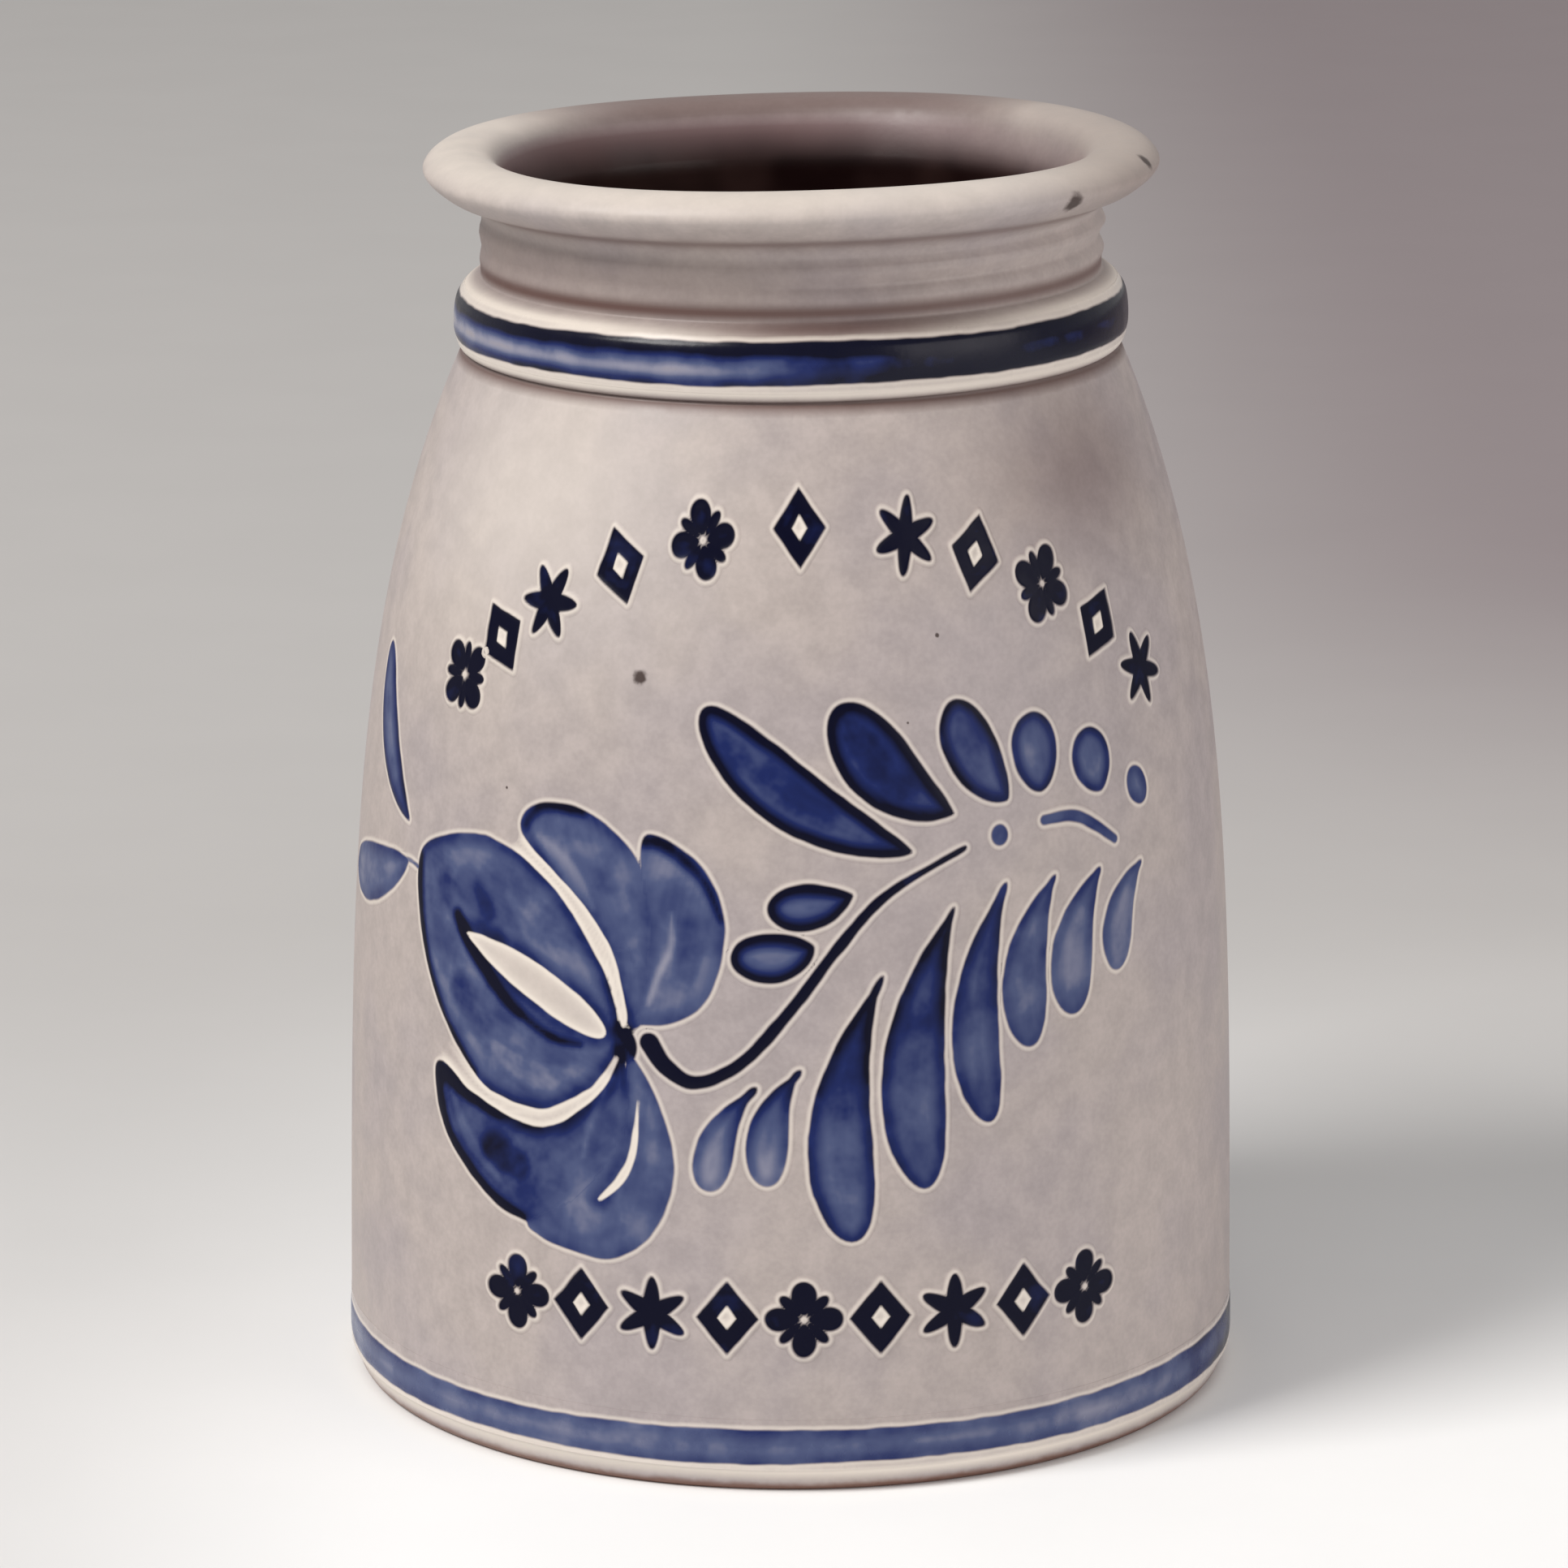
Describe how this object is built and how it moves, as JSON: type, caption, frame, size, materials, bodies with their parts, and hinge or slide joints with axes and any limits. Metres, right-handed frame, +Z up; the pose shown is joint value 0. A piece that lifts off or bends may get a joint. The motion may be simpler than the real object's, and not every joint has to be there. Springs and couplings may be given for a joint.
{
  "type": "ceramic crock fermenter",
  "caption": "Open salt-glazed stoneware crock with a rolled lip, a raised shoulder ring and cobalt slip painting, holding two half-moon weights.",
  "frame": {"origin": "centre of the flat foot, on the surface that the crock stands on", "axes": "+Z up along the axis the crock was turned about, -Y out of the painted front, +X to the right seen from the front"},
  "size_m": [0.1788, 0.1788, 0.2451],
  "materials": {
    "salt_glazed_stoneware": "satin salt glaze over grey-tan stoneware, toasted brown at the foot",
    "cobalt_slip": "brushed cobalt blue slip under the salt glaze, near black where it is thick",
    "unglazed_weight_stoneware": "matt unglazed buff stoneware"
  },
  "bodies": {
    "crock": {"crock_vessel": "salt_glazed_stoneware", "flower_slip": "cobalt_slip", "stem_slip": "cobalt_slip", "berry_slip_1": "cobalt_slip", "berry_slip_2": "cobalt_slip", "upper_leaf_slip_1": "cobalt_slip", "upper_leaf_slip_2": "cobalt_slip", "upper_leaf_slip_3": "cobalt_slip", "upper_leaf_slip_4": "cobalt_slip", "upper_leaf_slip_5": "cobalt_slip", "hanging_leaf_slip_1": "cobalt_slip", "hanging_leaf_slip_2": "cobalt_slip", "hanging_leaf_slip_3": "cobalt_slip", "hanging_leaf_slip_4": "cobalt_slip", "hanging_leaf_slip_5": "cobalt_slip", "hanging_leaf_slip_6": "cobalt_slip", "hanging_leaf_slip_7": "cobalt_slip", "hanging_leaf_slip_8": "cobalt_slip", "side_leaf_slip_1": "cobalt_slip", "side_leaf_slip_2": "cobalt_slip", "base_band_slip": "cobalt_slip", "shoulder_band_slip": "cobalt_slip"},
    "left_weight": {"weight_left": "unglazed_weight_stoneware"},
    "right_weight": {"weight_right": "unglazed_weight_stoneware"}
  },
  "joints": [
    {"name": "left_weight_lift", "type": "slide", "parent": "crock", "child": "left_weight", "axis": [0, 0, 1], "range_m": [0, 0.26]},
    {"name": "right_weight_lift", "type": "slide", "parent": "crock", "child": "right_weight", "axis": [0, 0, 1], "range_m": [0, 0.26]}
  ]
}
